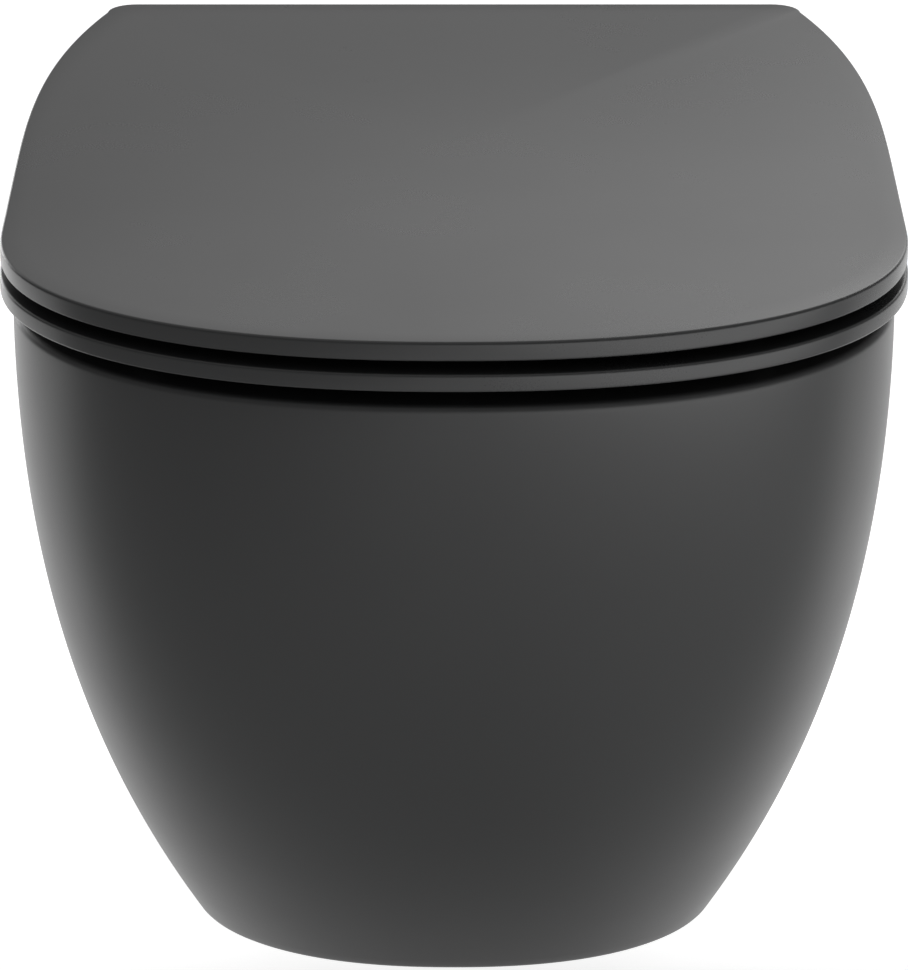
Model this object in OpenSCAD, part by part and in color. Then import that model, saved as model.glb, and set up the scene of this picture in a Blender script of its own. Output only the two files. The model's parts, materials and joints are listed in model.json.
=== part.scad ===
// Wall-hung toilet pan with a slim soft-close seat and lid.
// +Y points into the wall, -Y out into the room, +Z up. The wall's surface is the plane y = 0.
// The origin is midway between the two wall studs, on the wall's surface. The modules measure z
// from the foot of the pan, and placed() moves each one so that the studs are at z = 0.

/* [Pan] */
// Height of the ceramic from its foot to the top of its rim
pan_h = 337; // [335:0.5:340]
// How far the rim reaches out from the wall
pan_reach = 518; // [505:1:530]
// Half of the rim's greatest width
rim_half_w = 177.5; // [175:0.5:180]
// Half of the foot's greatest width
foot_half_w = 115; // [110:1:125]
// How far the foot's front lies behind the rim's front
foot_setback = 199; // [185:1:205]
// Half width of the ceramic where it meets the wall, at the rim
wall_half_w = 132; // [128:1:138]
// Thickness of the cast walls
wall_t = 11; // [10:0.5:12]

/* [Connections] */
// Height of the wall studs above the foot
stud_z = 260; // [250:1:265]
// Distance between the two wall studs
stud_spacing = 180; // [180, 230]
// Radius of the stud holes
stud_r = 6; // [5:0.5:6]
// Height of the waste outlet's centre above the foot
outlet_z = 160; // [155:1:165]
// Outer radius of the waste spigot
outlet_r = 51; // [45:1:51]
// Height of the flush inlet's centre above the foot
inlet_z = 295; // [290:1:297]
// Inner radius of the flush inlet
inlet_r = 27.5; // [25:0.5:27.5]

/* [Seat and lid] */
// Half of the lid's greatest width
lid_half_w = 182; // [180:0.5:184]
// Length of the lid from its back edge to its front
lid_len = 445; // [440:1:450]
// Distance from the wall to the lid's back edge
lid_gap = 75; // [75:1:80]
// Thickness of the lid at its edge
lid_t = 7.9; // [7:0.1:9]
// Rise of the lid's middle above its edge
lid_crown = 6; // [2:0.5:7]
// Thickness of the seat ring
seat_t = 7.3; // [7:0.1:8]
// Gap between the rim and the seat, which the bumpers fill
seat_gap = 6.7; // [5:0.1:7]
// Gap between the seat and the lid
lid_seat_gap = 5.1; // [4:0.1:6]
// Distance between the two seat fixing holes
seat_fix_spacing = 155; // [150:1:160]

/* [Hidden] */
$fn = 48;
left = -1;
right = 1;
both = [left, right];

anthracite = [0.22, 0.225, 0.225];
rubber_black = [0.07, 0.07, 0.07];
steel = [0.75, 0.76, 0.77];
nylon_grey = [0.45, 0.46, 0.47];
brass_gold = [0.78, 0.62, 0.32];

// Outer form of the pan. The section widens and leans out with height.
rim_nose = 132;      // depth of the rounded nose at the rim
foot_nose = 88;      // depth of the rounded nose at the foot
nose_power = 2.25;   // 2 is an ellipse, more is squarer
flare_power = 2.1;   // how soon the sides reach their full width
lean_power = 1.54;   // how soon the front reaches its full overhang
foot_wall_half_w = 100;
rim_taper_y = -320;  // where the sides begin to draw in towards the wall
foot_taper_y = -200;
deck_t = 14;         // thickness of the rim and of the deck behind it
rim_round = 3;
foot_round = 3;
outer_levels = 11;

// Bowl
sump_z = 45;
bowl_front = -483;
bowl_back = -150;
bowl_half_w = 146;
sump_front = -318;
sump_back = -205;
sump_half_w = 42;
bowl_wall = 10;
ledge_z = 300;       // the flush water runs round the bowl on this ledge
ledge_w = 8;

// Trapway, as centre points [y, z] from the sump over the weir to the outlet
trap_r = 28;
trap_wall = 9;
trap_path = [[-240, 76], [-212, 78], [-142, 168], [-122, 178], [-98, outlet_z]];
trap_bend = 0.5;     // the bends are this much wider than the straights
spigot_len = 55;
spigot_wall = 8.5;
inlet_len = 45;
channel_r = 24;      // flush channel from the inlet to the bowl
channel_wall = 8;

// Side clamps that pull the pan against the wall
side_y = -26;
side_bush_r = 6;
side_screw_r = 4;
cap_r = 9;
cap_t = 2.6;
block_x0 = stud_spacing / 2 - 12;
block_x1 = stud_spacing / 2 + 16;
block_len = 50;
block_h = 36;

// Seat and lid plan
lid_front = -lid_gap - lid_len;
lid_nose = 132;
lid_taper_y = lid_front + 200;
lid_back_half_w = lid_half_w - 30.5;
lid_corner = 12;
seat_over = 0.4;     // the seat stands this much proud of the lid all round
seat_z = pan_h + seat_gap;
seat_top = seat_z + seat_t;
lid_z = seat_top + lid_seat_gap;
lid_top = lid_z + lid_t;
edge_round = 1.2;
lid_recess = 2.5;
lid_recess_in = 14;
seat_hole_front = -448;
seat_hole_back = -178;
seat_hole_half_w = 108;

// Hinge. All its stations along y are distances in front of the axis.
axis_y = -lid_gap - 11;
axis_z = lid_top - 11;
knuckle_r = 8;
shaft_r = 4;
run = 0.05;          // running clearance on the radius
groove_r = knuckle_r + 0.6;
barrel_neck = 5.8;   // the web to the seat ring starts here, clear of the lid's skirt as it swings
fix_x = seat_fix_spacing / 2;
block_w = 20;
side_gap = 0.8;      // gap between neighbouring knuckles
barrel_half = fix_x - block_w / 2 - side_gap;
lug_x0 = fix_x + block_w / 2 + side_gap;
lug_x1 = lug_x0 + 43.7;
skirt_drop = 3.5;
block_front = 33;
block_neck = 5.5;
block_top = 2.5;     // above the axis
pin_d = 18;
pin_r = 5;
neck_r = 4;
plate_r = 16;
plate_t = 2;
pin_top = axis_z - 1;
latch_z = axis_z - 5.2;
latch_h = 1.5;
clip_r = 0.7;
damper_r = 6;
damper_len = 40;
socket_len = 14;
sleeve_r = 7.4;
sleeve_len = 34;
shank_r = 3;
shank_len = 46;
notch_front = 36.5;

// Release button, as distances in front of the axis
button_r = 3.5;
button_front = 34;
collar_front = 30.5;
collar_t = 1.2;
collar_r = 4.5;
stem_r = 1.8;
stem_end = 26.2;
chamber_end = 24.4;
chamber_r = 4.7;
spring_wire_r = 0.35;
spring_turns = 3;

// ---------- outlines ----------

function mix(a, b, t) = a + (b - a) * t;

// Right half of a plan outline, from its back corner to its front tip.
// o = [half width, tip y, nose depth, taper y, back y, half width at the back, corner radius,
// ease], where ease 0 keeps narrowing to the back and ease 3 ends parallel to the centre line.
function side_x(o, i, y) =
    let (v = max(0, (y - o[3]) / (o[4] - o[3])))
    o[0] - i - (o[0] - o[5]) * pow(v, 3) * (1 + o[7] * (1 - v));

function half_outline(o, i, nose_n, side_n) =
    let (
        corner = o[6],
        back = o[4] - (corner > 0 ? i : 0),
        side_end = back - corner,
        waist = o[1] + o[2],
        corner_x = side_x(o, i, side_end) - corner
    )
    concat(
        corner > 0 ? [for (a = [0:30:60]) [corner_x + corner * sin(a), side_end + corner * cos(a)]] : [],
        [for (k = [side_n:-1:1]) let (y = mix(waist, side_end, k / side_n)) [side_x(o, i, y), y]],
        [for (k = [nose_n:-1:0])
            let (a = 90 * k / nose_n)
            [(o[0] - i) * pow(sin(a), 2 / nose_power), waist - (o[2] - i) * pow(cos(a), 2 / nose_power)]]
    );

function outline(o, i = 0, nose_n = 12, side_n = 8) =
    let (half = half_outline(o, i, nose_n, side_n))
    concat(half, [for (k = [len(half) - 2:-1:0]) [-half[k][0], half[k][1]]]);

// Egg-shaped outline, half width w, from y = front to y = back, widest at 0.45 of the way
function egg(w, front, back, n = 40) =
    let (mid = mix(back, front, 0.45))
    [for (k = [0:n - 1])
        let (a = -360 * k / n, s = sin(a), c = cos(a), reach = c > 0 ? back - mid : mid - front)
        [-w * sign(s) * pow(abs(s), 2 / nose_power), mid + reach * sign(c) * pow(abs(c), 2 / nose_power)]];

function at_height(points, z) = [for (p = points) [p[0], p[1], z]];

// Closed skin over rings of equal length, listed from the lowest to the highest
module loft(rings) {
    n = len(rings[0]);
    m = len(rings);
    points = [for (r = rings) each r];
    bottom = [[for (k = [n - 1:-1:0]) k]];
    top = [[for (k = [0:n - 1]) (m - 1) * n + k]];
    sides = [for (j = [0:m - 2], k = [0:n - 1])
        let (a = j * n + k, b = j * n + (k + 1) % n)
        each [[b, b + n, a + n], [b, a + n, a]]];
    polyhedron(points = points, faces = concat(bottom, sides, top), convexity = 8);
}

// ---------- pan ----------

function pan_plan(z, back = 0) =
    let (
        t = z / pan_h,
        flare = 1 - pow(1 - t, flare_power),
        lean = 1 - pow(1 - t, lean_power)
    )
    [
        mix(foot_half_w, rim_half_w, flare),
        -pan_reach + foot_setback * (1 - lean),
        mix(foot_nose, rim_nose, t),
        mix(foot_taper_y, rim_taper_y, t),
        back,
        mix(foot_wall_half_w, wall_half_w, flare),
        0,
        3
    ];

function pan_ring(z, i = 0) = at_height(outline(pan_plan(z), i), z);

// x of the pan's outer surface on its right side
function pan_side(y, z) = side_x(pan_plan(z), 0, y);

module pan_outer() {
    body = pan_h - rim_round;
    loft(concat(
        [pan_ring(0, foot_round)],
        [for (k = [0:outer_levels]) pan_ring(mix(foot_round, body, k / outer_levels))],
        [pan_ring(pan_h - rim_round * 0.3, rim_round * 0.3), pan_ring(pan_h, rim_round)]
    ));
}

// Space inside the outer wall, open at the back
module pan_hollow() {
    levels = 8;
    top = pan_h - deck_t;
    loft([for (k = [0:levels])
        let (z = mix(wall_t, top, k / levels))
        at_height(outline(pan_plan(z, 1), wall_t, 9, 6), z)]);
}

function bowl_ring(z, grow = 0) =
    let (
        u = (min(z, pan_h) - sump_z) / (pan_h - sump_z),
        step = z < ledge_z ? ledge_w * u : 0,
        lip = z > pan_h - 4 ? (z - pan_h + 4) * 0.9 : 0,
        edge = grow + lip - step
    )
    at_height(egg(
        mix(bowl_half_w, sump_half_w, pow(1 - u, 1.6)) + edge,
        mix(bowl_front, sump_front, pow(1 - u, 1.5)) - edge,
        mix(bowl_back, sump_back, pow(1 - u, 1.2)) + edge
    ), z);

module bowl_space() {
    loft([for (z = [sump_z, sump_z + 4, 60, 80, 110, 140, 170, 200, 230, 260, 285,
        ledge_z - 1, ledge_z, 320, pan_h - 4, pan_h - 1.5, pan_h + 1]) bowl_ring(z)]);
}

module bowl_shell() {
    bottom = sump_z - bowl_wall;
    top = pan_h - deck_t / 2;
    at = [for (p = bowl_ring(sump_z, bowl_wall)) [p[0], p[1], bottom]];
    loft(concat([at], [for (z = [60, 100, 140, 180, 220, 260, ledge_z, top]) bowl_ring(z, bowl_wall)]));
}

// Round tube between two points [y, z] of the middle plane, turned about itself by seam degrees
module tube(a, b, r, seam) {
    dy = b[0] - a[0];
    dz = b[1] - a[1];
    translate([0, a[0], a[1]])
        rotate([-atan2(dy, dz), 0, 0])
            rotate([0, 0, seam])
                cylinder(h = norm([dy, dz]), r = r);
}

// The stretches are turned about themselves so that no two seams meet at a bend
module trapway(grow) {
    seam = 37;
    r = trap_r + grow;
    spigot_r = outlet_r - spigot_wall + (grow > 0 ? spigot_wall : 0);
    last = len(trap_path) - 1;
    start = trap_path[last][0];
    mouth = grow > 0 ? 0 : 1;
    for (k = [0:last - 1]) tube(trap_path[k], trap_path[k + 1], r, seam * k);
    for (k = [1:last])
        translate([0, trap_path[k][0], trap_path[k][1]])
            rotate([0, 0, 180])
                sphere(r = r + trap_bend);
    translate([0, start, outlet_z])
        rotate([-90, 0, 0])
            rotate([0, 0, seam])
                rotate_extrude()
                    polygon([
                        [0, 0], [r, 0], [spigot_r, -spigot_len - start],
                        [spigot_r, mouth - start], [0, mouth - start]
                    ]);
}

// Cylinder along y between two stations
module along_y(x, z, y0, y1, r) {
    translate([x, y1, z]) rotate([90, 0, 0]) cylinder(h = y1 - y0, r = r);
}

// Cylinder along x between two stations
module along_x(y, z, x0, x1, r) {
    translate([x0, y, z]) rotate([0, 90, 0]) cylinder(h = x1 - x0, r = r);
}

module pan() {
    cap_x = pan_side(side_y, stud_z) - cap_t;
    color(anthracite)
    difference() {
        union() {
            difference() {
                pan_outer();
                pan_hollow();
            }
            bowl_shell();
            trapway(trap_wall);
            along_y(0, inlet_z, -inlet_len, 0, inlet_r + channel_wall);
            along_y(0, inlet_z, bowl_back - 2, -inlet_len + 1, channel_r + channel_wall);
        }
        bowl_space();
        trapway(0);
        along_y(0, inlet_z, -inlet_len, 1, inlet_r);
        along_y(0, inlet_z, bowl_back - 20, -inlet_len + 1, channel_r);
        for (s = both) {
            translate([s * fix_x, axis_y - pin_d, pan_h - deck_t - 5])
                cylinder(h = deck_t + 6, r = sleeve_r + 0.1);
            mirror([s < 0 ? 1 : 0, 0, 0]) {
                along_x(side_y, stud_z, block_x1, cap_x + 20, side_bush_r);
                along_x(side_y, stud_z, cap_x, cap_x + 20, cap_r + 0.2);
            }
        }
    }
}

// Splits the flush water to both sides of the bowl
module flush_distributor() {
    mouth = bowl_back - 9;
    color(anthracite)
    difference() {
        union() {
            along_y(0, inlet_z, mouth - 9, mouth + 25, channel_r - 0.2);
            intersection() {
                along_y(0, inlet_z, mouth - 12, mouth - 9, 40);
                translate([-40, mouth - 12, inlet_z - 15]) cube([80, 3, 39]);
            }
        }
        along_y(0, inlet_z, mouth - 5, mouth + 26, channel_r - 3);
        for (s = both)
            translate([s * 16 - 9, mouth - 9, inlet_z - 30]) cube([18, 9, 46]);
    }
}

// ---------- seat fixing ----------

// Moves to the centre of one seat fixing hole, at the rim's height
module at_fixing(side) {
    translate([side * fix_x, axis_y - pin_d, pan_h]) children();
}

module mount_plate(side) {
    color(steel)
    at_fixing(side)
        difference() {
            cylinder(h = plate_t, r = plate_r);
            translate([0, 0, -1]) cylinder(h = plate_t + 2, r = shank_r);
        }
}

module mount_pin(side) {
    neck_z = latch_z - latch_h / 2 - pan_h;
    color(steel)
    at_fixing(side)
        difference() {
            union() {
                translate([0, 0, -shank_len]) cylinder(h = shank_len + plate_t + 1, r = shank_r);
                translate([0, 0, plate_t]) cylinder(h = neck_z - plate_t, r = pin_r);
                translate([0, 0, neck_z - 1]) cylinder(h = latch_h + 2, r = neck_r);
                translate([0, 0, neck_z + latch_h])
                    cylinder(h = pin_top - pan_h - neck_z - latch_h - 1, r = pin_r);
                translate([0, 0, pin_top - pan_h - 1]) cylinder(h = 1, r1 = pin_r, r2 = pin_r - 1);
            }
            translate([0, 0, pin_top - pan_h - 3]) cylinder(h = 4, r = 2.3, $fn = 6);
        }
}

module expansion_sleeves() {
    color(rubber_black)
    for (s = both)
        at_fixing(s)
            translate([0, 0, -sleeve_len])
                difference() {
                    cylinder(h = sleeve_len, r = sleeve_r);
                    translate([0, 0, -1]) cylinder(h = sleeve_len + 2, r = shank_r);
                }
}

module cone_nuts() {
    h = 10;
    color(brass_gold)
    for (s = both)
        at_fixing(s)
            translate([0, 0, -sleeve_len - h])
                difference() {
                    union() {
                        cylinder(h = 4, r = sleeve_r, $fn = 6);
                        translate([0, 0, 4]) cylinder(h = h - 4, r1 = sleeve_r - 1, r2 = sleeve_r - 2.5);
                    }
                    translate([0, 0, -1]) cylinder(h = h + 2, r = shank_r);
                }
}

// ---------- wall fixing ----------

module fixing_block(side) {
    low = stud_z - block_h / 2;
    color(nylon_grey)
    mirror([side < 0 ? 1 : 0, 0, 0])
        difference() {
            translate([block_x0, -block_len, low]) cube([block_x1 - block_x0, block_len, block_h]);
            along_y(stud_spacing / 2, stud_z, -block_len - 1, 1, stud_r);
            along_x(side_y, stud_z, block_x1 - 8, block_x1 + 1, side_screw_r);
            for (z = [low + 5, low + block_h - 9])
                translate([block_x0 - 1, -block_len + 6, z]) cube([6, block_len - 12, 4]);
        }
}

module side_screws() {
    end_x = pan_side(side_y, stud_z) - cap_t - 4;
    color(steel)
    for (s = both)
        mirror([s < 0 ? 1 : 0, 0, 0])
            difference() {
                along_x(side_y, stud_z, block_x1 - 8, end_x, side_screw_r);
                translate([end_x - 4, side_y, stud_z]) rotate([0, 90, 0])
                    cylinder(h = 5, r = 2.3, $fn = 6);
            }
}

module side_bushes() {
    end_x = pan_side(side_y, stud_z) - cap_t;
    color(nylon_grey)
    for (s = both)
        mirror([s < 0 ? 1 : 0, 0, 0])
            difference() {
                along_x(side_y, stud_z, block_x1, end_x, side_bush_r);
                along_x(side_y, stud_z, block_x1 - 1, end_x + 1, side_screw_r);
            }
}

module side_cap(side) {
    cap_x = pan_side(side_y, stud_z) - cap_t;
    color(anthracite)
    mirror([side < 0 ? 1 : 0, 0, 0])
        union() {
            along_x(side_y, stud_z, cap_x, cap_x + cap_t - 0.6, cap_r);
            translate([cap_x + cap_t - 0.6, side_y, stud_z]) rotate([0, 90, 0])
                cylinder(h = 0.6, r1 = cap_r, r2 = cap_r - 0.8);
            along_x(side_y, stud_z, cap_x - 3, cap_x, side_screw_r);
        }
}

// ---------- hinge ----------

// Moves to the hinge axis, where x stays as it is, and turns y so that it runs to the front
module at_axis() {
    translate([0, axis_y, axis_z]) children();
}

// Box between two distances in front of the axis and two heights from it
module axis_box(x0, x1, d0, d1, z0, z1) {
    translate([x0, -d1, z0]) cube([x1 - x0, d1 - d0, z1 - z0]);
}

module hinge_block(side) {
    low = pan_h + plate_t - axis_z;
    x0 = side * fix_x - block_w / 2;
    x1 = side * fix_x + block_w / 2;
    latch = latch_z - axis_z;
    color(steel)
    at_axis()
        difference() {
            union() {
                axis_box(x0, x1, block_neck, block_front, low, block_top);
                along_x(0, 0, x0, x1, knuckle_r);
            }
            along_x(0, 0, x0 - 1, x1 + 1, shaft_r);
            translate([side * fix_x, -pin_d, low - 1])
                cylinder(h = pin_top - pan_h - plate_t + 1.5, r = pin_r + run);
            axis_box(side * fix_x - 6.5, side * fix_x + 6.5, pin_d - 7, chamber_end + 0.5,
                latch - 1, latch + 1);
            along_y(side * fix_x, latch, -collar_front, -chamber_end, chamber_r);
            along_y(side * fix_x, latch, -block_front - 1, -collar_front + 1, button_r + run);
        }
}

// The shaft is keyed into a damper at one end and turns in a plain bush at the other
module hinge_shaft(side) {
    color(steel)
    at_axis()
        along_x(0, 0, side * fix_x - block_w / 2 - side_gap - socket_len + 1,
            side * fix_x + block_w / 2 + side_gap + socket_len - 1, shaft_r);
}

// Spring wires that hold the hinge blocks on the mounting pins
module latch_clips() {
    leg = neck_r + 0.1 + clip_r;
    color(steel)
    for (s = both)
        translate([s * fix_x, axis_y, latch_z]) {
            for (k = both) along_y(k * leg, 0, -pin_d - 5.5, -pin_d + 5.5, clip_r);
            for (k = both) translate([k * leg, -pin_d + 5.5, 0]) sphere(r = clip_r);
            along_x(-pin_d + 5.5, 0, -leg, leg, clip_r);
        }
}

module release_button(side) {
    color(steel)
    translate([side * fix_x, axis_y, latch_z])
        union() {
            along_y(0, 0, -button_front, -collar_front + 0.1, button_r);
            along_y(0, 0, -collar_front, -collar_front + collar_t, collar_r);
            along_y(0, 0, -collar_front, -stem_end, stem_r);
        }
}

// Coil spring round the button's stem, a wire swept along a helix
module release_spring(side) {
    wire_n = 6;
    turn_n = 14;
    coil_r = 3.2;
    start = -collar_front + collar_t + spring_wire_r;
    end = -chamber_end - spring_wire_r;
    steps = spring_turns * turn_n;
    rings = [for (k = [0:steps])
        let (a = 360 * k / turn_n, y = mix(start, end, k / steps))
        [for (w = [0:wire_n - 1])
            let (b = -360 * w / wire_n, r = coil_r + spring_wire_r * cos(b))
            [r * cos(a), y + spring_wire_r * sin(b), r * sin(a)]]];
    color(steel)
    translate([side * fix_x, axis_y, latch_z]) loft(rings);
}

// ---------- seat ----------

function seat_plan() = [
    lid_half_w + seat_over, lid_front - seat_over, lid_nose + seat_over, lid_taper_y,
    axis_y - 9, lid_half_w - 26, lid_corner, 0
];

module seat_slab(z0, z1, inset) {
    translate([0, 0, z0])
        linear_extrude(z1 - z0)
            difference() {
                polygon(outline(seat_plan(), inset));
                polygon(egg(seat_hole_half_w + inset, seat_hole_front - inset, seat_hole_back + inset));
            }
}

module seat() {
    color(anthracite)
    difference() {
        union() {
            seat_slab(seat_z, seat_z + edge_round, edge_round);
            seat_slab(seat_z + edge_round, seat_top - edge_round, 0);
            seat_slab(seat_top - edge_round, seat_top, edge_round);
            at_axis() {
                along_x(0, 0, -barrel_half, barrel_half, knuckle_r);
                axis_box(-barrel_half, barrel_half, barrel_neck, 14, seat_z - axis_z, 1);
            }
        }
        at_axis() {
            for (s = both)
                axis_box(s * fix_x - block_w / 2 - side_gap, s * fix_x + block_w / 2 + side_gap,
                    -1, notch_front, -20, 20);
            along_x(0, 0, -barrel_half - 1, -barrel_half + damper_len, damper_r);
            along_x(0, 0, barrel_half - socket_len, barrel_half + 1, damper_r);
        }
    }
}

module seat_bumpers() {
    gap = 0.1;
    color(rubber_black)
    for (s = both, p = [[119, -468], [157, -235]])
        translate([s * p[0], p[1], pan_h + gap]) cylinder(h = seat_gap - gap, r = 7);
}

// Rotary damper: a sealed housing whose rotor takes the shaft's end
module damper(x0, x1, mouth_x0, mouth_x1) {
    at_axis()
        difference() {
            along_x(0, 0, x0, x1, damper_r);
            along_x(0, 0, mouth_x0, mouth_x1, shaft_r + run);
        }
}

module seat_damper() {
    color(nylon_grey)
    damper(-barrel_half, -barrel_half + damper_len, -barrel_half - 1, -barrel_half + socket_len);
}

module seat_bush() {
    color(nylon_grey)
    damper(barrel_half - socket_len, barrel_half, barrel_half - socket_len - 1, barrel_half + 1);
}

// ---------- lid ----------

lid_plan = [
    lid_half_w, lid_front, lid_nose, lid_taper_y, -lid_gap, lid_back_half_w, lid_corner, 0
];

function lid_ring(z, i) = at_height(outline(lid_plan, i), z);

// Ring of the domed top, as a share of the plate's own outline. The middle rises by lid_crown.
function dome_ring(size) =
    let (middle = (lid_front - lid_gap) / 2)
    [for (p = outline(lid_plan, edge_round))
        [p[0] * size, middle + (p[1] - middle) * size, lid_top + lid_crown * (1 - size * size)]];

module lid_plate() {
    loft(concat(
        [lid_ring(lid_z, edge_round), lid_ring(lid_z + edge_round, 0), lid_ring(lid_top - edge_round, 0)],
        [for (size = [1, 0.84, 0.67, 0.5, 0.32, 0.14]) dome_ring(size)]
    ));
}

module lid() {
    color(anthracite)
    difference() {
        union() {
            difference() {
                lid_plate();
                translate([0, 0, lid_z - 1])
                    linear_extrude(lid_recess + 1)
                        intersection() {
                            polygon(outline(lid_plan, lid_recess_in));
                            translate([-200, lid_front]) square([400, lid_len - 40]);
                        }
                at_axis() along_x(0, 0, -lug_x0, lug_x0, groove_r);
            }
            at_axis() {
                axis_box(-lug_x1, lug_x1, -11, -groove_r, -skirt_drop, lid_z - axis_z + 1);
                for (s = both)
                    mirror([s < 0 ? 1 : 0, 0, 0]) {
                        along_x(0, 0, lug_x0, lug_x1, knuckle_r);
                        axis_box(lug_x0, lug_x1, -10, 0, -skirt_drop, lid_z - axis_z + 1);
                    }
            }
        }
        at_axis()
            for (s = both)
                mirror([s < 0 ? 1 : 0, 0, 0]) along_x(0, 0, lug_x0 - 1, lug_x1 + 1, damper_r);
    }
}

module lid_bumpers() {
    gap = 0.1;
    color(rubber_black)
    for (s = both, p = [[114, -465], [150, -232]])
        translate([s * p[0], p[1], seat_top + gap])
            cylinder(h = lid_seat_gap + lid_recess - gap, r = 6);
}

module lid_damper() {
    color(nylon_grey)
    damper(lug_x0, lug_x0 + damper_len, lug_x0 - 1, lug_x0 + socket_len);
}

module lid_bush() {
    color(nylon_grey)
    damper(-lug_x0 - socket_len, -lug_x0, -lug_x0 - socket_len - 1, -lug_x0 + 1);
}

// Plugs that close the outer ends of the lid's hinge lugs
module hinge_end_caps() {
    plug = lug_x1 - lug_x0 - damper_len;
    color(anthracite)
    at_axis()
        for (s = both)
            mirror([s < 0 ? 1 : 0, 0, 0]) {
                difference() {
                    along_x(0, 0, lug_x1 - plug, lug_x1, damper_r);
                    along_x(0, 0, lug_x1 - 1, lug_x1 + 1, damper_r - 2.5);
                }
            }
}

// ---------- assembly ----------

module placed() {
    translate([0, 0, -stud_z]) children();
}

placed() pan();
placed() flush_distributor();
placed() mount_plate(left);  // mount_plate_left
placed() mount_plate(right);  // mount_plate_right
placed() mount_pin(left);  // mount_pin_left
placed() mount_pin(right);  // mount_pin_right
placed() expansion_sleeves();
placed() cone_nuts();
placed() fixing_block(left);  // fixing_block_left
placed() fixing_block(right);  // fixing_block_right
placed() side_screws();
placed() side_bushes();
placed() side_cap(left);  // side_cap_left
placed() side_cap(right);  // side_cap_right
placed() hinge_block(left);  // hinge_block_left
placed() hinge_block(right);  // hinge_block_right
placed() hinge_shaft(left);  // hinge_shaft_left
placed() hinge_shaft(right);  // hinge_shaft_right
placed() latch_clips();
placed() release_spring(left);  // release_spring_left
placed() release_spring(right);  // release_spring_right
placed() release_button(left);  // release_button_left
placed() release_button(right);  // release_button_right
placed() seat();
placed() seat_bumpers();
placed() seat_damper();
placed() seat_bush();
placed() lid();
placed() lid_bumpers();
placed() lid_damper();
placed() lid_bush();
placed() hinge_end_caps();
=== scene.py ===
"""Looks of a wall-hung toilet pan with its seat and lid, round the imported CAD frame.

Shapes are worked out in millimetres with z measured from the pan's foot, as in the CAD source,
and placed() turns them into the row frame: metres, +Y into the wall, +Z up, studs at the origin.
"""

import json
import math

import bmesh
import bpy
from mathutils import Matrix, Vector


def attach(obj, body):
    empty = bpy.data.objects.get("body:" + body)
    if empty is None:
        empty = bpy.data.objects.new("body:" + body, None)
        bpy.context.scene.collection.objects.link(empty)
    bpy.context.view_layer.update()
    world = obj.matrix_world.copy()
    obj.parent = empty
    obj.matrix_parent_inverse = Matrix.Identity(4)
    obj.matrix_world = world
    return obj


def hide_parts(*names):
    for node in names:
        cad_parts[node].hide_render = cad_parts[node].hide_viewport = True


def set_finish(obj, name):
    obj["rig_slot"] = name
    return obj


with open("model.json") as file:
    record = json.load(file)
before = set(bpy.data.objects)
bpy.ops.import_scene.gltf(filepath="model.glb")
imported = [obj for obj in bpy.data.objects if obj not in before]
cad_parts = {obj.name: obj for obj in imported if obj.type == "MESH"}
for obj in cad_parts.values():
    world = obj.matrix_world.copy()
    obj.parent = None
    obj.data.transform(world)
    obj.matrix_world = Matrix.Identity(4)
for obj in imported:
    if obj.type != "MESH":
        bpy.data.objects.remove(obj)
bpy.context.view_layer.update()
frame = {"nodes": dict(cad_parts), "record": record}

STUD_Z = 260.0
NOSE_POWER = 2.25  # 2 would make the noses elliptical
EGG_WIDEST = 0.45


def mix(a, b, t):
    return a + (b - a) * t


def placed(x, y, z):
    return Vector((x, y, z - STUD_Z)) * 0.001


# ---------- outlines ----------
# A plan is [half width, tip y, nose depth, taper y, back y, half width at the back, corner radius,
# ease].


def side_x(plan, inset, y):
    """Half width of a plan at y, on the side between the nose and the back."""
    v = max(0.0, (y - plan[3]) / (plan[4] - plan[3]))
    return plan[0] - inset - (plan[0] - plan[5]) * v**3 * (1 + plan[7] * (1 - v))


def outline(plan, inset=0.0, nose_n=72, side_n=36, corner_n=9):
    """Closed outline from the right back corner round the front tip to the left back corner."""
    corner = plan[6]
    back = plan[4] - (inset if corner else 0.0)
    side_end = back - corner
    waist = plan[1] + plan[2]
    corner_x = side_x(plan, inset, side_end) - corner
    power = 2 / NOSE_POWER
    half = []
    if corner:
        for k in range(corner_n):
            a = math.pi / 2 * k / corner_n
            half.append((corner_x + corner * math.sin(a), side_end + corner * math.cos(a)))
    for k in range(side_n, 0, -1):
        y = mix(waist, side_end, k / side_n)
        half.append((side_x(plan, inset, y), y))
    for k in range(nose_n, -1, -1):
        a = math.pi / 2 * k / nose_n
        x = (plan[0] - inset) * math.sin(a) ** power
        half.append((x, waist - (plan[2] - inset) * abs(math.cos(a)) ** power))
    return half + [(-x, y) for x, y in half[-2::-1]]


def egg(half_w, front, back, n=160):
    """Egg-shaped outline, widest a little nearer its back than its front."""
    mid = mix(back, front, EGG_WIDEST)
    power = 2 / NOSE_POWER
    ring = []
    for k in range(n):
        a = -2 * math.pi * k / n
        s, c = math.sin(a), math.cos(a)
        reach = back - mid if c > 0 else mid - front
        x = -half_w * math.copysign(abs(s) ** power, s)
        ring.append((x, mid + reach * math.copysign(abs(c) ** power, c)))
    return ring


def at_height(ring, z):
    return [(x, y, z) for x, y in ring]


# ---------- solids ----------


def mesh_object(name, verts, faces):
    mesh = bpy.data.meshes.new(name)
    mesh.from_pydata([placed(*v) for v in verts], [], faces)
    bm = bmesh.new()
    bm.from_mesh(mesh)
    bmesh.ops.recalc_face_normals(bm, faces=bm.faces)
    bm.to_mesh(mesh)
    bm.free()
    obj = bpy.data.objects.new(name, mesh)
    bpy.context.scene.collection.objects.link(obj)
    return obj


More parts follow.
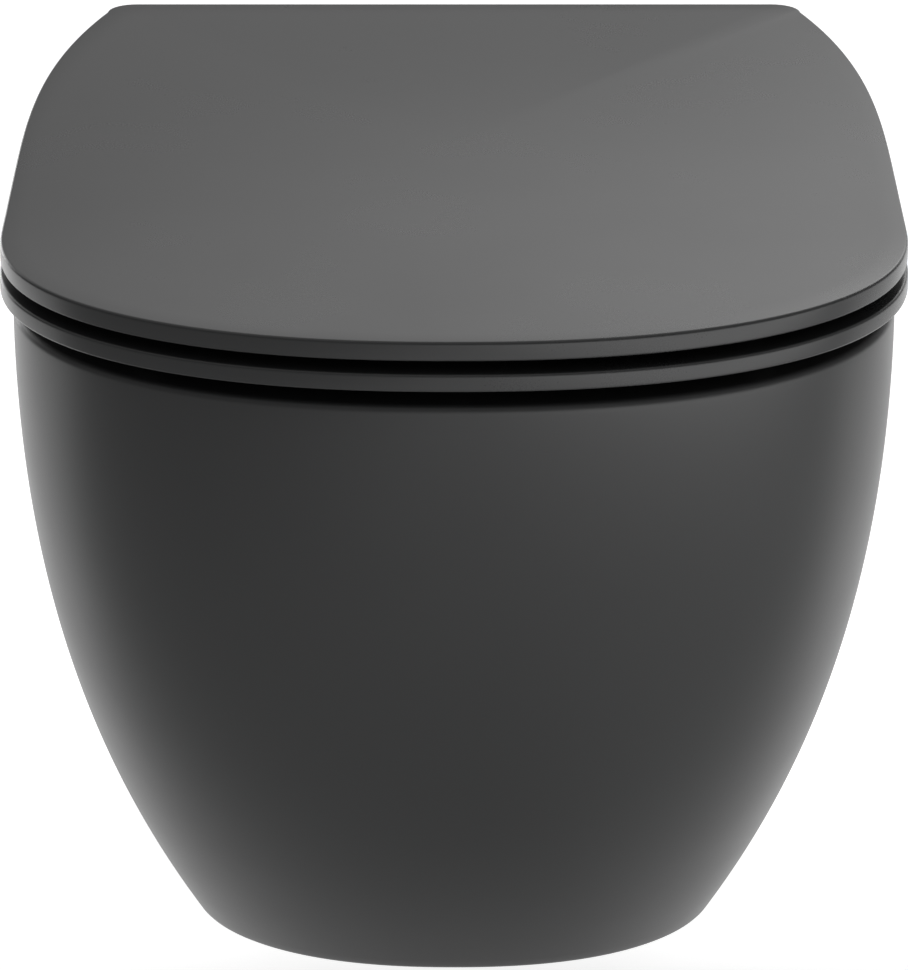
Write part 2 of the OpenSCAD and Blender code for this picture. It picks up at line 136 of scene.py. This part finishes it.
def loft(name, rings):
    """Closed skin over rings of equal length."""
    n, m = len(rings[0]), len(rings)
    faces = [list(range(n)), [(m - 1) * n + k for k in range(n)]]
    for j in range(m - 1):
        for k in range(n):
            a, b = j * n + k, j * n + (k + 1) % n
            faces.append([a, b, b + n, a + n])
    return mesh_object(name, [p for r in rings for p in r], faces)


def revolve(name, profile, base, toward, segments=96):
    """Solid turned from (distance along, radius) pairs about the line from base towards a point."""
    base = Vector(base)
    axis = (Vector(toward) - base).normalized()
    side = axis.orthogonal().normalized()
    other = axis.cross(side)
    rings = []
    for along, r in profile:
        ring = []
        for k in range(segments):
            a = 2 * math.pi * (k + 0.5) / segments
            ring.append(tuple(base + axis * along + (side * math.cos(a) + other * math.sin(a)) * r))
        rings.append(ring)
    return loft(name, rings)


def cylinder(name, base, toward, r, segments=96):
    length = (Vector(toward) - Vector(base)).length
    return revolve(name, [(0, r), (length, r)], base, toward, segments)


def ball(name, centre, r, rows=32, segments=64):
    turns = [math.pi * k / rows for k in range(1, rows)]
    profile = [(-r * math.cos(a), r * math.sin(a)) for a in turns]
    x, y, z = centre
    return revolve(name, profile, centre, (x, y, z + 1), segments)


def block(name, lo, hi):
    verts = [(x, y, z) for x in (lo[0], hi[0]) for y in (lo[1], hi[1]) for z in (lo[2], hi[2])]
    faces = [(0, 1, 3, 2), (4, 6, 7, 5), (0, 4, 5, 1), (2, 3, 7, 6), (0, 2, 6, 4), (1, 5, 7, 3)]
    return mesh_object(name, verts, faces)


def combine(base, operation, *tools):
    """Adds the tools to base, or cuts them from it, and removes them."""
    for tool in tools:
        step = base.modifiers.new("step", "BOOLEAN")
        step.operation = operation
        step.solver = "MANIFOLD"
        step.object = tool
        depsgraph = bpy.context.evaluated_depsgraph_get()
        made = bpy.data.meshes.new_from_object(base.evaluated_get(depsgraph))
        base.modifiers.clear()
        base.data = made
        bpy.data.objects.remove(tool)
    return base


def smooth(obj, degrees=32):
    obj.data.shade_smooth()
    obj.data.set_sharp_from_angle(angle=math.radians(degrees))
    return obj


def quarter(r, n=6):
    """(inset, rise) pairs round a convex quarter circle that starts on the side."""
    turns = [math.pi / 2 * k / n for k in range(n + 1)]
    return [(r * (1 - math.cos(a)), r * math.sin(a)) for a in turns]


# ---------- pan ----------

PAN_H = 337.0
PAN_REACH = 518.0
RIM_HALF_W, FOOT_HALF_W = 177.5, 115.0
FOOT_SETBACK = 199.0
WALL_HALF_W, FOOT_WALL_HALF_W = 132.0, 100.0
WALL_T, DECK_T = 11.0, 14.0
RIM_NOSE, FOOT_NOSE = 132.0, 88.0
RIM_TAPER_Y, FOOT_TAPER_Y = -320.0, -200.0
FLARE_POWER, LEAN_POWER, SIDE_EASE = 2.1, 1.54, 3.0
RIM_ROUND, FOOT_ROUND = 3.0, 3.0

SUMP_Z, LEDGE_Z, LEDGE_W, BOWL_WALL = 45.0, 300.0, 8.0, 10.0
BOWL_FRONT, BOWL_BACK, BOWL_HALF_W = -483.0, -150.0, 146.0
SUMP_FRONT, SUMP_BACK, SUMP_HALF_W = -318.0, -205.0, 42.0
WIDTH_POWER, FRONT_POWER, BACK_POWER = 1.6, 1.5, 1.2  # how steep the bowl's walls start
LIP_ROUND = 4.0
LIP_RISES = (1, 1.8, 2.5, 3.1, 3.5, 3.8, 3.95, 4)  # heights of the rings round the lip
SUMP_ROUND = 9.0
SUMP_CURVE = ((0, 0), (3.4, 0.7), (6.4, 2.6), (8.3, 5.6))  # (out, up) from the sump's floor

OUTLET_Z, INLET_Z = 160.0, 295.0
TRAP_R, TRAP_WALL, TRAP_BEND = 28.0, 9.0, 0.5
TRAP_PATH = [(-240, 76), (-212, 78), (-142, 168), (-122, 178), (-98, OUTLET_Z)]
OUTLET_R, SPIGOT_LEN, SPIGOT_WALL = 51.0, 55.0, 8.5
INLET_R, INLET_LEN, CHANNEL_R, CHANNEL_WALL = 27.5, 45.0, 24.0, 8.0

FIX_X, FIX_Y, SLEEVE_R = 77.5, -104.0, 7.4
SIDE_Y, SIDE_BUSH_R, CAP_R, CAP_T, BLOCK_X1 = -26.0, 6.0, 9.0, 2.6, 106.0


def pan_plan(z, back=0.0):
    t = z / PAN_H
    flare = 1 - (1 - t) ** FLARE_POWER
    lean = 1 - (1 - t) ** LEAN_POWER
    return [
        mix(FOOT_HALF_W, RIM_HALF_W, flare),
        -PAN_REACH + FOOT_SETBACK * (1 - lean),
        mix(FOOT_NOSE, RIM_NOSE, t),
        mix(FOOT_TAPER_Y, RIM_TAPER_Y, t),
        back,
        mix(FOOT_WALL_HALF_W, WALL_HALF_W, flare),
        0.0,
        SIDE_EASE,
    ]


def pan_ring(z, inset=0.0):
    return at_height(outline(pan_plan(z), inset), z)


def bowl_ring(z, grow=0.0, n=160):
    """Outline of the bowl's inside at a height, with its ledge and rounded lip."""
    u = (min(z, PAN_H) - SUMP_Z) / (PAN_H - SUMP_Z)
    step = LEDGE_W * u * (1 - min(1.0, max(0.0, (z - LEDGE_Z + 3) / 3)) ** 2)
    t = min(1.0, max(0.0, (z - PAN_H + LIP_ROUND) / LIP_ROUND))
    edge = grow + LIP_ROUND * (1 - math.sqrt(1 - t * t)) - step
    return at_height(
        egg(
            mix(BOWL_HALF_W, SUMP_HALF_W, (1 - u) ** WIDTH_POWER) + edge,
            mix(BOWL_FRONT, SUMP_FRONT, (1 - u) ** FRONT_POWER) - edge,
            mix(BOWL_BACK, SUMP_BACK, (1 - u) ** BACK_POWER) + edge,
            n,
        ),
        z,
    )


def trapway(grow):
    """Pieces of the round passage from the sump over the weir to the outlet."""
    r = TRAP_R + grow
    mouth = 0.0 if grow else 1.0
    spigot_r = OUTLET_R - (0.0 if grow else SPIGOT_WALL)
    points = [(0.0, y, z) for y, z in TRAP_PATH]
    parts = [cylinder("tube", a, b, r) for a, b in zip(points, points[1:])]
    parts += [ball("bend", p, r + TRAP_BEND) for p in points[1:]]
    start = TRAP_PATH[-1][0]
    profile = [(0, r), (-SPIGOT_LEN - start, spigot_r), (mouth - start, spigot_r)]
    parts.append(revolve("spigot", profile, points[-1], (0, 0, OUTLET_Z)))
    return parts


def make_pan():
    """Outer skin, hollowed from the back; then the bowl, trapway and inlet as a shell inside it."""
    body = PAN_H - RIM_ROUND
    levels = 84
    rings = [pan_ring(FOOT_ROUND - rise, inset) for inset, rise in reversed(quarter(FOOT_ROUND, 4))]
    rings += [pan_ring(mix(FOOT_ROUND, body, k / levels)) for k in range(1, levels)]
    rings += [pan_ring(body + rise, inset) for inset, rise in quarter(RIM_ROUND, 8)]
    pan = loft("pan_body", rings)
    top = PAN_H - DECK_T
    hollow = []
    for k in range(25):
        z = mix(WALL_T, top, k / 24)
        hollow.append(at_height(outline(pan_plan(z, 1.0), WALL_T, 40, 24), z))
    combine(pan, "DIFFERENCE", loft("hollow", hollow))

    bottom = SUMP_Z - BOWL_WALL
    shell = [[(x, y, bottom) for x, y, _ in bowl_ring(SUMP_Z, BOWL_WALL - 6)]]
    shell += [[(x, y, bottom + 3) for x, y, _ in bowl_ring(SUMP_Z, BOWL_WALL - 1)]]
    shell += [bowl_ring(mix(SUMP_Z, PAN_H - DECK_T / 2, k / 40), BOWL_WALL) for k in range(41)]
    inlet, channel = (0, -INLET_LEN, INLET_Z), (0, 1 - INLET_LEN, INLET_Z)
    combine(
        pan,
        "UNION",
        loft("shell", shell),
        *trapway(TRAP_WALL),
        cylinder("inlet", inlet, (0, 0, INLET_Z), INLET_R + CHANNEL_WALL),
        cylinder("channel", (0, BOWL_BACK - 2, INLET_Z), channel, CHANNEL_R + CHANNEL_WALL),
    )

    space = []
    for out, rise in SUMP_CURVE:
        ring = bowl_ring(SUMP_Z + SUMP_ROUND, out - SUMP_ROUND)
        space.append([(x, y, SUMP_Z + rise) for x, y, _ in ring])
    space += [bowl_ring(mix(SUMP_Z + SUMP_ROUND, LEDGE_Z - 4, k / 44)) for k in range(45)]
    space += [bowl_ring(LEDGE_Z - 3 + 0.5 * k) for k in range(7)]
    space += [bowl_ring(mix(LEDGE_Z + 2, PAN_H - LIP_ROUND, k / 6)) for k in range(7)]
    space += [bowl_ring(PAN_H - LIP_ROUND + rise) for rise in LIP_RISES]
    space += [bowl_ring(PAN_H + 1)]
    tools = [
        loft("space", space),
        *trapway(0.0),
        cylinder("inlet", inlet, (0, 1, INLET_Z), INLET_R),
        cylinder("channel", (0, BOWL_BACK - 20, INLET_Z), channel, CHANNEL_R),
    ]
    cap_x = side_x(pan_plan(STUD_Z), 0.0, SIDE_Y) - CAP_T
    for s in (-1, 1):
        hole = (s * FIX_X, FIX_Y, PAN_H - DECK_T - 5)
        tools.append(cylinder("hole", hole, (hole[0], hole[1], PAN_H + 1), SLEEVE_R + 0.1))
        for x0, r in ((BLOCK_X1, SIDE_BUSH_R), (cap_x, CAP_R + 0.2)):
            start, end = (s * x0, SIDE_Y, STUD_Z), (s * (cap_x + 20), SIDE_Y, STUD_Z)
            tools.append(cylinder("side", start, end, r))
    combine(pan, "DIFFERENCE", *tools)
    return smooth(pan)


# ---------- seat and lid ----------

SEAT_Z, SEAT_TOP = 343.7, 351.0
LID_Z, LID_TOP, LID_CROWN = 356.1, 364.0, 5.85
DOME_RINGS = 28
FINE = {"nose_n": 96, "side_n": 48}  # points in the outlines of the seat and the lid
EDGE_ROUND, HOLE_ROUND = 1.2, 2.4
SEAT_PLAN = [182.4, -520.4, 132.4, -320.0, -95.0, 156.0, 12.0, 0.0]
LID_PLAN = [182.0, -520.0, 132.0, -320.0, -75.0, 151.5, 12.0, 0.0]
HOLE_HALF_W, HOLE_FRONT, HOLE_BACK = 108.0, -448.0, -178.0

AXIS_Y, AXIS_Z = -86.0, 353.0
KNUCKLE_R, GROOVE_R, DAMPER_R = 8.0, 8.6, 6.0
BARREL_HALF, BARREL_NECK = 66.7, 5.8
NOTCH_HALF, NOTCH_FRONT = 10.8, 36.5
LUG_X0, LUG_X1, SKIRT_DROP = 88.3, 132.0, 3.5
DAMPER_LEN, SOCKET_LEN = 40.0, 14.0
RECESS, RECESS_IN, RECESS_LEN = 2.5, 14.0, 405.0


def axle(name, x0, x1, r):
    """Cylinder on the hinge axis between two stations."""
    return cylinder(name, (x0, AXIS_Y, AXIS_Z), (x1, AXIS_Y, AXIS_Z), r, 72)


def axis_block(name, x0, x1, front0, front1, z0, z1):
    """Block between two distances in front of the hinge axis and two heights from it."""
    return block(name, (x0, AXIS_Y - front1, AXIS_Z + z0), (x1, AXIS_Y - front0, AXIS_Z + z1))


def make_seat():
    """Rounded ring with the hinge barrel, which is notched for the hinge blocks and bored."""
    rings = [
        at_height(outline(SEAT_PLAN, inset, **FINE), SEAT_Z + EDGE_ROUND - rise)
        for inset, rise in reversed(quarter(EDGE_ROUND))
    ]
    rings += [
        at_height(outline(SEAT_PLAN, inset, **FINE), SEAT_TOP - EDGE_ROUND + rise)
        for inset, rise in quarter(EDGE_ROUND)
    ]
    seat = loft("seat_ring", rings)
    combine(
        seat,
        "UNION",
        axle("barrel", -BARREL_HALF, BARREL_HALF, KNUCKLE_R),
        axis_block("web", -BARREL_HALF, BARREL_HALF, BARREL_NECK, 14, SEAT_Z - AXIS_Z, 1),
    )

    def hole_ring(grow, z):
        return at_height(egg(HOLE_HALF_W + grow, HOLE_FRONT - grow, HOLE_BACK + grow, 240), z)

    hole = [hole_ring(HOLE_ROUND, SEAT_Z - 1)]
    bend = quarter(HOLE_ROUND, 8)
    hole += [hole_ring(out, SEAT_Z + HOLE_ROUND - rise) for out, rise in reversed(bend)]
    hole += [hole_ring(out, SEAT_TOP - HOLE_ROUND + rise) for out, rise in bend]
    hole += [hole_ring(HOLE_ROUND, SEAT_TOP + 1)]
    tools = [loft("hole", hole)]
    for s in (-1, 1):
        x = s * FIX_X
        tools.append(axis_block("notch", x - NOTCH_HALF, x + NOTCH_HALF, -1, NOTCH_FRONT, -20, 20))
    tools.append(axle("bore", -BARREL_HALF - 1, -BARREL_HALF + DAMPER_LEN, DAMPER_R))
    tools.append(axle("bore", BARREL_HALF - SOCKET_LEN, BARREL_HALF + 1, DAMPER_R))
    combine(seat, "DIFFERENCE", *tools)
    return smooth(seat)


def make_lid():
    """Flat rounded edge under a low dome, whose rings pass from the outline to an oval."""

    def ring(inset, z):
        return at_height(outline(LID_PLAN, inset, **FINE), z)

    rings = [ring(i, LID_Z + EDGE_ROUND - rise) for i, rise in reversed(quarter(EDGE_ROUND))]
    rings += [ring(i, LID_TOP - EDGE_ROUND + rise) for i, rise in quarter(EDGE_ROUND)]
    middle = LID_PLAN[1] / 2 + LID_PLAN[4] / 2
    edge = outline(LID_PLAN, EDGE_ROUND, **FINE)
    rim = [(math.hypot(x, y - middle), math.atan2(y - middle, x)) for x, y in edge]
    half_w, half_l = LID_PLAN[0], LID_PLAN[4] - middle
    for k in range(1, DOME_RINGS):
        size = 1 - k / DOME_RINGS
        contour = []
        for reach, turn in rim:
            oval = 1 / math.hypot(math.cos(turn) / half_w, math.sin(turn) / half_l)
            reach = mix(oval, reach, size**3) * size
            contour.append((reach * math.cos(turn), middle + reach * math.sin(turn)))
        rings.append(at_height(contour, LID_TOP + LID_CROWN * (1 - size**2)))
    lid = loft("lid_shell", rings)

    recess = [p for p in outline(LID_PLAN, RECESS_IN, **FINE) if p[1] < LID_PLAN[1] + RECESS_LEN]
    combine(
        lid,
        "DIFFERENCE",
        loft("recess", [at_height(recess, LID_Z - 1), at_height(recess, LID_Z + RECESS)]),
        axle("groove", -LUG_X0, LUG_X0, GROOVE_R),
    )
    tools = [axis_block("skirt", -LUG_X1, LUG_X1, -11, -GROOVE_R, -SKIRT_DROP, LID_Z - AXIS_Z + 1)]
    bores = []
    for s in (-1, 1):
        x0, x1 = sorted((s * LUG_X0, s * LUG_X1))
        tools.append(axle("lug", x0, x1, KNUCKLE_R))
        tools.append(axis_block("web", x0, x1, -10, 0, -SKIRT_DROP, LID_Z - AXIS_Z + 1))
        bores.append(axle("bore", x0 - 1, x1 + 1, DAMPER_R))
    combine(lid, "UNION", *tools)
    combine(lid, "DIFFERENCE", *bores)
    return smooth(lid)


pan, seat, lid = make_pan(), make_seat(), make_lid()
own_pieces = ((pan, "pan", "ceramic"), (seat, "seat", "thermoset"), (lid, "lid", "thermoset"))
for piece, node, slot in own_pieces:
    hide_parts(node)
    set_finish(piece, slot)
    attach(piece, node)

# ---------- materials ----------

BLOTCH_SCALE = 14.0  # cloudy patches about 70 mm across
BLACK = (0.026, 0.0265, 0.027)


def math_node(nodes, link, operation, *values):
    """Output of a Math node fed with numbers or with other nodes' outputs."""
    made = nodes.new("ShaderNodeMath")
    made.operation = operation
    for value, socket in zip(values, made.inputs):
        if isinstance(value, (int, float)):
            socket.default_value = value
        else:
            link(value, socket)
    return made.outputs[0]


def material(name, color, roughness, metallic=0.0, grain=900.0, depth=0.00002, mottle=0.05,
             wear=0.1, stretch=(1, 1, 1), rough_spread=0.06, edge=0.0006):
    """Finish with mottled colour, uneven gloss, fine grain and soft, slightly worn edges."""
    mat = bpy.data.materials.new(name)
    mat.use_nodes = True
    tree = mat.node_tree
    nodes, link = tree.nodes, tree.links.new
    shader = nodes["Principled BSDF"]
    shader.inputs["Metallic"].default_value = metallic

    def noise(scale, detail, vector):
        made = nodes.new("ShaderNodeTexNoise")
        made.inputs["Scale"].default_value = scale
        made.inputs["Detail"].default_value = detail
        link(vector, made.inputs["Vector"])
        return made.outputs["Fac"]

    def ranged(value, low, high, frm=(0.0, 1.0)):
        made = nodes.new("ShaderNodeMapRange")
        made.inputs["From Min"].default_value, made.inputs["From Max"].default_value = frm
        made.inputs["To Min"].default_value, made.inputs["To Max"].default_value = low, high
        link(value, made.inputs["Value"])
        return made.outputs["Result"]

    place = nodes.new("ShaderNodeTexCoord").outputs["Object"]
    scaled = nodes.new("ShaderNodeMapping")
    scaled.inputs["Scale"].default_value = stretch
    link(place, scaled.inputs["Vector"])
    blotch = noise(BLOTCH_SCALE, 3.0, place)
    grainy = noise(grain, 4.0, scaled.outputs["Vector"])

    rounded = nodes.new("ShaderNodeBevel")
    rounded.samples = 4
    rounded.inputs["Radius"].default_value = edge
    facing = nodes.new("ShaderNodeVectorMath")
    facing.operation = "DOT_PRODUCT"
    link(rounded.outputs["Normal"], facing.inputs[0])
    link(nodes.new("ShaderNodeNewGeometry").outputs["Normal"], facing.inputs[1])
    edges = ranged(facing.outputs["Value"], 1.0, 0.0, (0.75, 0.99))

    tint = nodes.new("ShaderNodeMix")
    tint.data_type = "RGBA"
    tint.inputs["A"].default_value = (*(c * (1 - mottle) for c in color), 1)
    tint.inputs["B"].default_value = (*(c * (1 + mottle) for c in color), 1)
    link(ranged(blotch, 0.0, 1.0, (0.3, 0.7)), tint.inputs["Factor"])
    worn = nodes.new("ShaderNodeMix")
    worn.data_type = "RGBA"
    worn.inputs["B"].default_value = (*(min(1.0, c * 1.35 + 0.01) for c in color), 1)
    link(ranged(edges, 0.0, wear), worn.inputs["Factor"])
    link(tint.outputs["Result"], worn.inputs["A"])
    link(worn.outputs["Result"], shader.inputs["Base Color"])

    half, third = rough_spread / 2, rough_spread / 3
    cloudy = ranged(blotch, roughness - half, roughness + half, (0.3, 0.7))
    gloss = math_node(nodes, link, "ADD", cloudy, ranged(grainy, -third, third))
    link(gloss, shader.inputs["Roughness"])

    bump = nodes.new("ShaderNodeBump")
    bump.inputs["Strength"].default_value = 0.6
    bump.inputs["Distance"].default_value = depth
    link(grainy, bump.inputs["Height"])
    link(rounded.outputs["Normal"], bump.inputs["Normal"])
    link(bump.outputs["Normal"], shader.inputs["Normal"])
    return mat


finishes = {
    "ceramic": material("matt_glaze", BLACK, 0.36, grain=700, mottle=0.03, rough_spread=0.03,
                        edge=0.0015),
    "thermoset": material("matt_thermoset", BLACK, 0.28, grain=1600, depth=0.00001, mottle=0.02,
                          rough_spread=0.02),
    "rubber": material("rubber", (0.02, 0.02, 0.02), 0.75, grain=900, mottle=0.15),
    "stainless": material("stainless", (0.62, 0.62, 0.63), 0.3, 1.0, grain=500, wear=0.4,
                          stretch=(0.05, 1, 1)),
    "nylon": material("nylon", (0.3, 0.31, 0.32), 0.5, grain=700, mottle=0.06),
    "damper_plastic": material("damper_plastic", (0.1, 0.1, 0.11), 0.45, grain=800),
    "brass": material("brass", (0.72, 0.52, 0.24), 0.32, 1.0, grain=500, mottle=0.08, wear=0.4),
    "cap_plastic": material("cap_plastic", BLACK, 0.4, grain=1200),
}
slot_of = {part["node"]: part["material_slot"] for part in frame["record"]["subparts"]}


def finish_with(obj, mat):
    obj.data.materials.clear()
    obj.data.materials.append(mat)


for node, obj in frame["nodes"].items():
    finish_with(obj, finishes[slot_of[node]])
for piece in (pan, seat, lid):
    finish_with(piece, finishes[piece["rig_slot"]])

# ---------- floor, light and camera ----------

FLOOR_Z = -0.32  # the wall studs stand 320 mm above the finished floor
FLOOR_R = 40.0  # puts its edge close to the horizon
FLOOR_GREY, FLOOR_ROUGHNESS = 0.5, 0.8

# Zones of the floor lit from below, as a light table: ((from x, to x), (from y, to y), strength),
# where each pair is the start and end of a soft ramp from dark to full
LIT_ZONES = [
    ((-4.5, -1.5), (-0.4, -0.15), 0.78),
    ((-0.5, 0.9), (-0.2, -1.15), 1.75),
    ((-2.5, -0.5), (-0.2, -1.15), 0.05),
]
FLOOR_GLOW = 0.12  # strength of the glow outside every zone


def make_floor():
    bm = bmesh.new()
    bmesh.ops.create_circle(bm, cap_ends=True, segments=64, radius=FLOOR_R)
    mesh = bpy.data.meshes.new("floor")
    bm.to_mesh(mesh)
    bm.free()
    floor = bpy.data.objects.new("floor", mesh)
    bpy.context.scene.collection.objects.link(floor)
    floor.location.z = FLOOR_Z
    mat = bpy.data.materials.new("pale_floor")
    mat.use_nodes = True
    nodes, link = mat.node_tree.nodes, mat.node_tree.links.new
    shader = nodes["Principled BSDF"]
    shader.inputs["Base Color"].default_value = (FLOOR_GREY, FLOOR_GREY, FLOOR_GREY, 1)
    shader.inputs["Roughness"].default_value = FLOOR_ROUGHNESS
    shader.inputs["Emission Color"].default_value = (1, 1, 1, 1)
    place = nodes.new("ShaderNodeSeparateXYZ")
    link(nodes.new("ShaderNodeTexCoord").outputs["Object"], place.inputs[0])
    total = FLOOR_GLOW
    for ramp_x, ramp_y, strength in LIT_ZONES:
        share = strength
        for axis, (start, end) in (("X", ramp_x), ("Y", ramp_y)):
            ramp = nodes.new("ShaderNodeMapRange")
            ramp.interpolation_type = "SMOOTHSTEP"
            ramp.inputs["From Min"].default_value = start
            ramp.inputs["From Max"].default_value = end
            link(place.outputs[axis], ramp.inputs["Value"])
            share = math_node(nodes, link, "MULTIPLY", share, ramp.outputs["Result"])
        total = math_node(nodes, link, "ADD", total, share)
    link(total, shader.inputs["Emission Strength"])
    mesh.materials.append(mat)


make_floor()

CAMERA_AT = (0.0, -2.620, 0.873)
CAMERA_DOWN, LENS = 21.5, 217.9
camera = bpy.data.cameras.new("camera")
camera.sensor_width, camera.lens = 36.0, LENS
eye = bpy.data.objects.new("camera", camera)
eye.location = CAMERA_AT
eye.rotation_euler = (math.radians(90 - CAMERA_DOWN), 0, 0)
bpy.context.scene.collection.objects.link(eye)
bpy.context.scene.camera = eye

# Soft sky glows: (degrees round from the wall towards the right, degrees up, tightness, strength)
GLOWS = {
    "back_right": (17, 26, 80, 3.7),
    "back": (0, 27, 80, 0.95),
    "back_left": (-30, 26, 30, 0.35),
    "top": (0, 80, 3, 0.5),
}
AMBIENT = 0.2
BOX_X, BOX_Y, BOX_Z = 0.8, 0.8, 0.15
BOX_AIM, BOX_SIZE = (0, -0.25, -0.05), (0.5, 0.7)


def light_sky():
    """World whose glows fall off as a power of the cosine of the angle from their middle."""
    world = bpy.data.worlds.new("studio")
    bpy.context.scene.world = world
    world.use_nodes = True
    nodes, link = world.node_tree.nodes, world.node_tree.links.new
    view = nodes.new("ShaderNodeTexCoord").outputs["Generated"]
    total = AMBIENT
    for turn, up, tight, strength in GLOWS.values():
        turn, up = math.radians(turn), math.radians(up)
        near = nodes.new("ShaderNodeVectorMath")
        near.operation = "DOT_PRODUCT"
        link(view, near.inputs[0])
        near.inputs[1].default_value = (
            math.sin(turn) * math.cos(up), math.cos(turn) * math.cos(up), math.sin(up))
        lit = math_node(nodes, link, "MAXIMUM", near.outputs["Value"], 0.0)
        fall = math_node(nodes, link, "POWER", lit, tight)
        total = math_node(nodes, link, "MULTIPLY_ADD", fall, strength, total)
    shader = nodes["Background"]
    shader.inputs["Color"].default_value = (1, 1, 1, 1)
    link(total, shader.inputs["Strength"])


def softbox(name, x, watts):
    """Upright soft light behind the object, aimed at its middle and unseen by the camera."""
    light = bpy.data.lights.new(name, "AREA")
    light.shape = "RECTANGLE"
    light.size, light.size_y, light.energy = *BOX_SIZE, watts
    box = bpy.data.objects.new(name, light)
    box.location = (x, BOX_Y, BOX_Z)
    box.rotation_euler = (Vector(BOX_AIM) - box.location).to_track_quat("-Z", "Y").to_euler()
    box.visible_camera = False
    bpy.context.scene.collection.objects.link(box)


light_sky()
softbox("strip_left", -BOX_X, 3.2)
softbox("strip_right", BOX_X, 0.6)
bpy.context.scene.view_settings.view_transform = "Standard"
